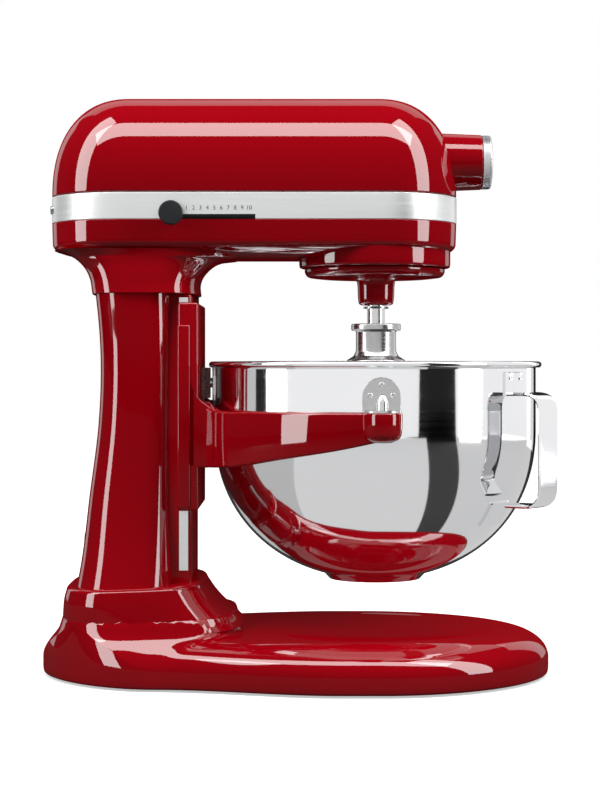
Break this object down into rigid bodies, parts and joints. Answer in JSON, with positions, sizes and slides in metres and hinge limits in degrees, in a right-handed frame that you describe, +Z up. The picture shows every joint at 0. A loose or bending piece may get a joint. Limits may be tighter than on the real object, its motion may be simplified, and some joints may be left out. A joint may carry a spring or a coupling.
{
  "type": "stand mixer",
  "caption": "Bowl-lift stand mixer with a polished steel bowl, wire whisk, planetary drive and attachment hub.",
  "frame": {"origin": "on the counter, under the middle of the base (bottom centre of the bounding box)", "axes": "+X forward from the column to the attachment hub, +Y to the lift-lever side, +Z up"},
  "size_m": [0.3672, 0.2866, 0.417],
  "materials": {
    "red_enamel": "gloss",
    "black_rubber": "matte",
    "steel_fasteners": "satin",
    "brushed_steel": "satin",
    "gear_steel": "satin",
    "cast_aluminium": "satin",
    "bronze": "satin",
    "lamination_steel": "satin",
    "copper": "satin",
    "bearing_steel": "gloss",
    "black_plastic": "satin",
    "board_green": "matte",
    "fan_plastic": "matte",
    "dark_grey_plastic": "satin",
    "polished_steel": "gloss",
    "bowl_steel": "mirror"
  },
  "bodies": {
    "body": {"base_casting": "red_enamel", "rubber_feet": "black_rubber", "base_bolts": "steel_fasteners", "column_casting": "red_enamel", "guide_strips": "brushed_steel", "cord_gland": "black_rubber", "lower_head_housing": "red_enamel", "upper_head_housing": "red_enamel", "trim_band": "brushed_steel", "trim_screws": "steel_fasteners", "neck_bolts": "steel_fasteners", "gearcase": "red_enamel", "gearcase_screws": "steel_fasteners", "ring_gear": "gear_steel", "gear_plate": "cast_aluminium", "shaft_bushes": "bronze", "stator_core": "lamination_steel", "field_coils": "copper", "motor_front_bracket": "cast_aluminium", "motor_rear_bracket": "cast_aluminium", "armature_bearings": "bearing_steel", "brush_holders": "black_plastic", "carbon_brushes": "black_plastic", "speed_plate": "board_green", "hub_sleeve": "cast_aluminium", "lever_bush": "bronze", "height_screw": "steel_fasteners"},
    "armature": {"armature_shaft": "gear_steel", "armature_core": "lamination_steel", "commutator": "copper", "cooling_fan": "fan_plastic"},
    "countershaft_train": {"countershaft": "gear_steel", "worm_wheel": "bronze", "drive_pinion": "gear_steel"},
    "planetary": {"planetary_housing": "red_enamel", "centre_shaft": "gear_steel", "centre_gear": "gear_steel", "centre_bevel": "gear_steel", "agitator_bush": "bronze"},
    "agitator": {"agitator_shaft": "polished_steel", "agitator_pinion": "gear_steel", "retaining_washer": "steel_fasteners"},
    "whisk": {"whisk_hub": "polished_steel", "whisk_wires": "polished_steel"},
    "hub_drive": {"hub_shaft": "gear_steel", "hub_bevel": "gear_steel"},
    "hub_flap": {"hub_cover": "polished_steel"},
    "hub_screw": {"hub_knob": "black_plastic"},
    "speed_slider": {"speed_knob": "dark_grey_plastic", "speed_link": "cast_aluminium"},
    "carriage": {"bowl_yoke": "red_enamel", "locating_pins": "steel_fasteners", "bowl_latch": "steel_fasteners", "lift_bracket": "gear_steel", "lift_spring": "steel_fasteners"},
    "bowl": {"bowl_shell": "bowl_steel", "bowl_fittings": "bowl_steel", "bowl_handle": "bowl_steel"},
    "lift_handle": {"lift_shaft": "gear_steel", "lift_lever": "black_plastic"}
  },
  "joints": [
    {"name": "planetary_spin", "type": "hinge", "parent": "body", "child": "planetary", "pos_m": [0.0576, 0, 0.29], "axis": [0, 0, 1], "continuous": true},
    {"name": "agitator_spin", "type": "hinge", "parent": "planetary", "child": "agitator", "pos_m": [0.0576, -0.024, 0.285], "axis": [0, 0, 1], "continuous": true},
    {"name": "countershaft_spin", "type": "hinge", "parent": "body", "child": "countershaft_train", "pos_m": [0.0126, 0.024, 0.34], "axis": [0, 0, 1], "continuous": true},
    {"name": "armature_spin", "type": "hinge", "parent": "body", "child": "armature", "pos_m": [-0.06, 0, 0.3714], "axis": [1, 0, 0], "continuous": true},
    {"name": "hub_drive_spin", "type": "hinge", "parent": "body", "child": "hub_drive", "pos_m": [0.09, 0, 0.3714], "axis": [1, 0, 0], "continuous": true},
    {"name": "whisk_twist", "type": "hinge", "parent": "agitator", "child": "whisk", "pos_m": [0.0576, -0.024, 0.243], "axis": [0, 0, 1], "range_deg": [0, 35]},
    {"name": "speed_slide", "type": "slide", "parent": "body", "child": "speed_slider", "axis": [1, 0, 0], "range_m": [0, 0.054]},
    {"name": "hub_cover_flip", "type": "hinge", "parent": "body", "child": "hub_flap", "pos_m": [0.1379, 0, 0.392], "axis": [0, -1, 0], "range_deg": [0, 100]},
    {"name": "hub_knob_turn", "type": "hinge", "parent": "body", "child": "hub_screw", "pos_m": [0.12, 0.03, 0.3714], "axis": [0, 1, 0], "continuous": true},
    {"name": "carriage_slide", "type": "slide", "parent": "body", "child": "carriage", "axis": [0, 0, -1], "range_m": [0, 0.038], "deforming": ["lift_spring"]},
    {"name": "lift_lever_turn", "type": "hinge", "parent": "body", "child": "lift_handle", "pos_m": [-0.105, 0.05, 0.171], "axis": [0, -1, 0], "range_deg": [0, 120]},
    {"name": "bowl_lift_off", "type": "slide", "parent": "carriage", "child": "bowl", "axis": [0, 0, 1], "range_m": [0, 0.013]}
  ],
  "couplings": [
    {"joint": "agitator_spin", "follows": "planetary_spin", "ratio": -3.2857},
    {"joint": "countershaft_spin", "follows": "planetary_spin", "ratio": -2.7778},
    {"joint": "armature_spin", "follows": "planetary_spin", "ratio": 66.667},
    {"joint": "hub_drive_spin", "follows": "planetary_spin", "ratio": 1},
    {"joint": "lift_lever_turn", "follows": "carriage_slide", "rad_per_m": 55.116}
  ]
}
